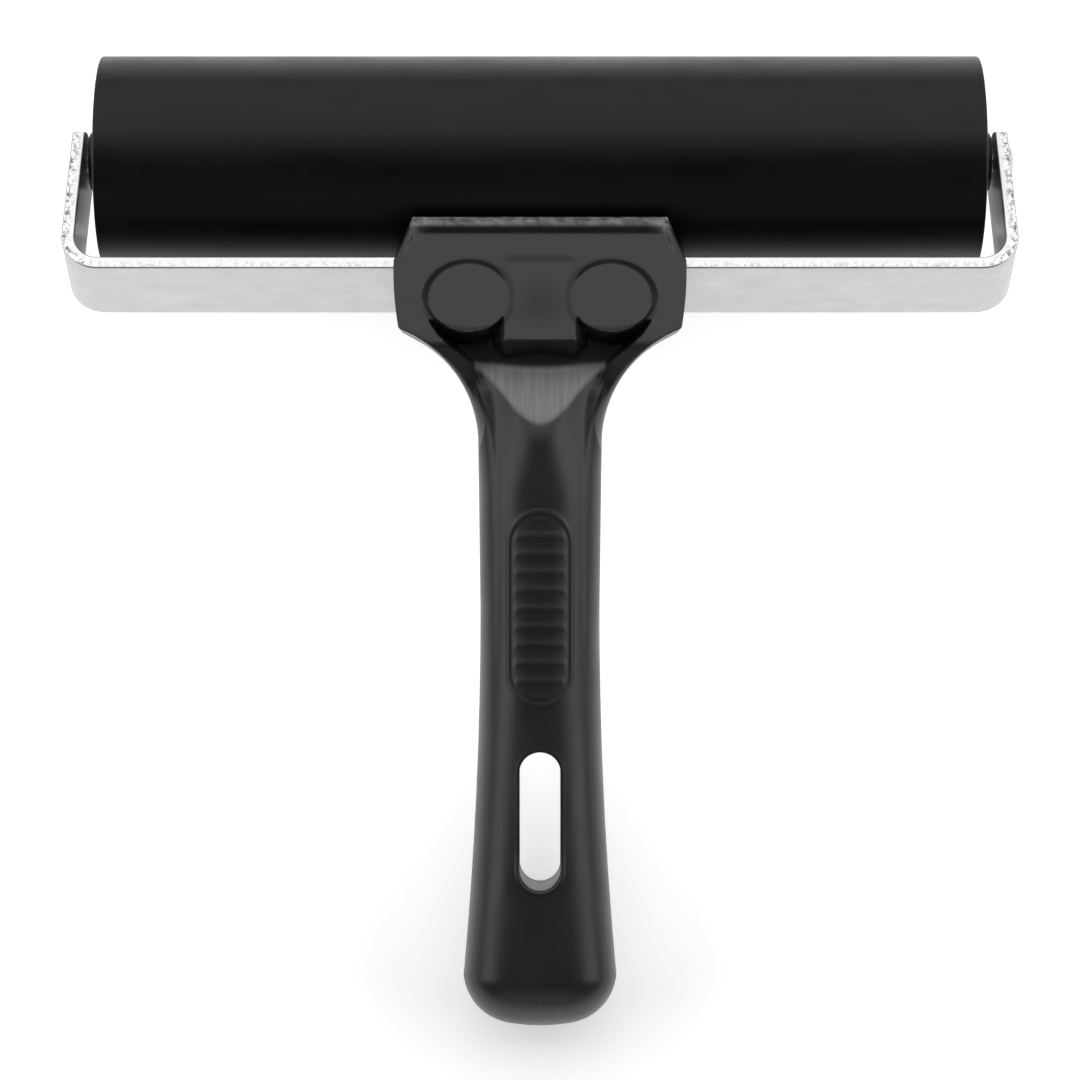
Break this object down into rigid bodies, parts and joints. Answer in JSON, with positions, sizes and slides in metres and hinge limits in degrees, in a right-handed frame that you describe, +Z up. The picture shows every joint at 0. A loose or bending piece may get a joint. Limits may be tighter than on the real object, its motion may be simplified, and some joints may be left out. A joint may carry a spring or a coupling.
{
  "type": "rubber brayer",
  "caption": "Hand brayer: a rubber roller on a fixed axle, held by a bent aluminium strip in a black moulded handle with a hang slot.",
  "frame": {"origin": "centre of the bottom of the bounding box: the middle of the roller's length, on the table that the roller and the butt of the grip rest on", "axes": "+X along the axle to the side with the domed head, +Y from the grip to the roller, +Z up from the table"},
  "size_m": [0.1618, 0.1654, 0.04],
  "materials": {
    "black_rubber": "smooth ground rubber with a soft sheen",
    "tube_aluminium": "plain drawn tube",
    "bush_plastic": "turned black plastic",
    "washer_nylon": "black nylon",
    "axle_steel": "drawn rod, one end domed and one peened",
    "strip_aluminium": "fine brushed along the strip",
    "handle_plastic": "black, fine satin mould texture",
    "screw_steel": "zinc plated"
  },
  "bodies": {
    "frame": {"handle_body": "handle_plastic", "clamp_plate": "handle_plastic", "clamp_screws": "screw_steel", "frame_bar": "strip_aluminium", "axle_rod": "axle_steel", "washer_left": "washer_nylon", "washer_right": "washer_nylon"},
    "roller": {"rubber_sleeve": "black_rubber", "core_tube": "tube_aluminium", "end_bush_left": "bush_plastic", "end_bush_right": "bush_plastic"}
  },
  "joints": [
    {"name": "roller_spin", "type": "hinge", "parent": "frame", "child": "roller", "pos_m": [0, 0.0644, 0.018], "axis": [1, 0, 0], "continuous": true}
  ]
}
